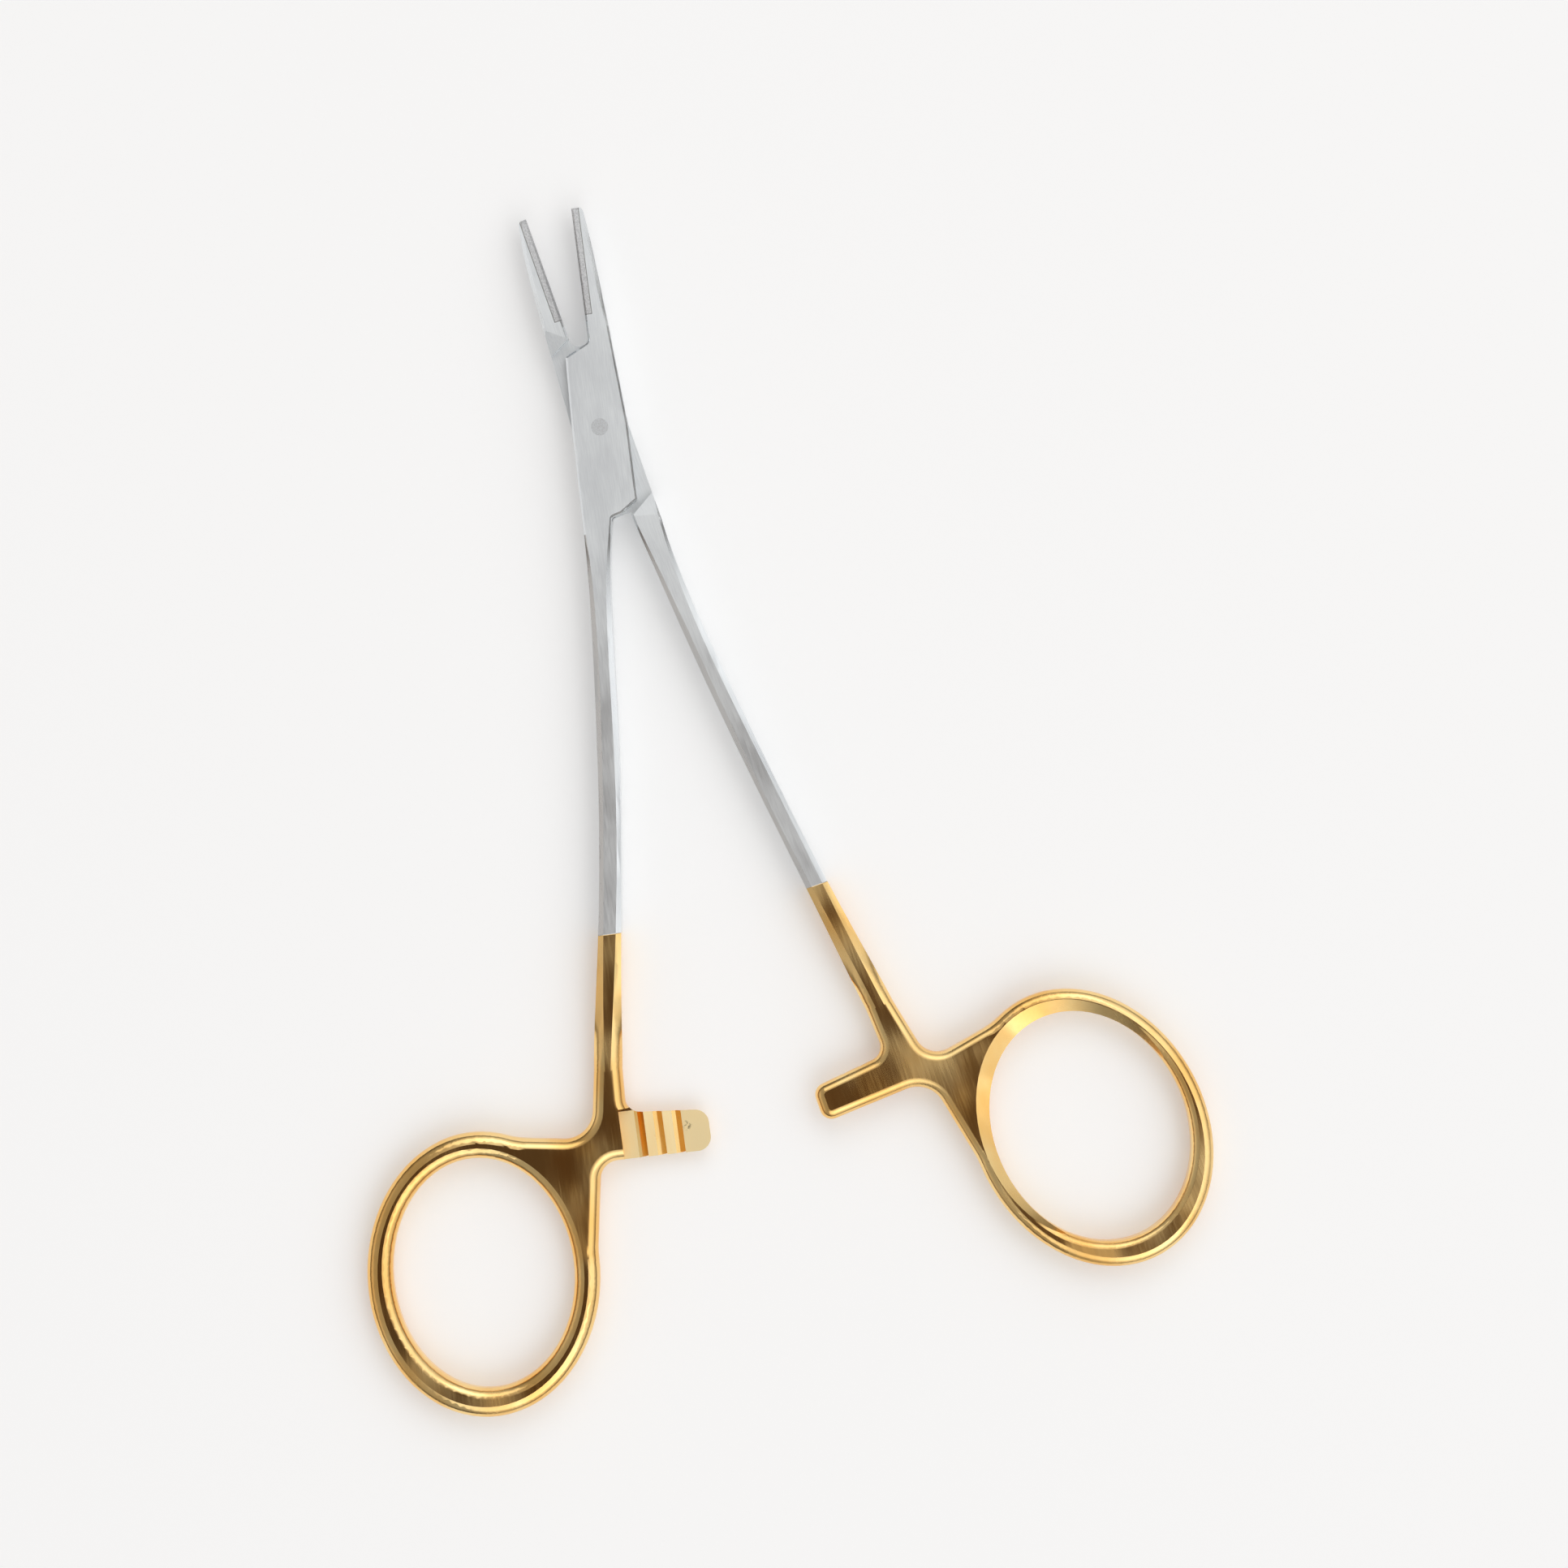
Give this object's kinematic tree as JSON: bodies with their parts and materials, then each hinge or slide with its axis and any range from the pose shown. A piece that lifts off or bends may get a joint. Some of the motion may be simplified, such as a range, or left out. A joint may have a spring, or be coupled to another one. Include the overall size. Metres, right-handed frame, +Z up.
{
  "type": "surgical needle holder",
  "caption": "Box-lock needle holder with carbide jaw inserts, slim shanks, finger rings and a ratchet; grips and locks on a suture needle.",
  "frame": {"origin": "on the pivot axis, at the flat underside of the box that the instrument rests on", "axes": "+Z up along the pivot pin, +Y along the box half's closed centre line towards the jaws, +X to the right"},
  "size_m": [0.0901, 0.1248, 0.0042],
  "materials": {
    "box_half_steel": "satin stainless steel, gold plated from the hub to the ring",
    "tongue_half_steel": "satin stainless steel, gold plated from the hub to the ring",
    "pin_steel": "satin stainless steel, ground flush",
    "insert_carbide": "dull grey tungsten carbide with a cross-cut grip"
  },
  "bodies": {
    "box_side": {"box_half": "box_half_steel", "pivot_pin": "pin_steel", "box_jaw_insert": "insert_carbide"},
    "tongue_side": {"tongue_half": "tongue_half_steel", "tongue_jaw_insert": "insert_carbide"}
  },
  "joints": [
    {"name": "box_lock", "type": "hinge", "parent": "box_side", "child": "tongue_side", "pos_m": [0, 0, 0.0021], "axis": [0, 0, 1], "range_deg": [-12, 12]}
  ]
}
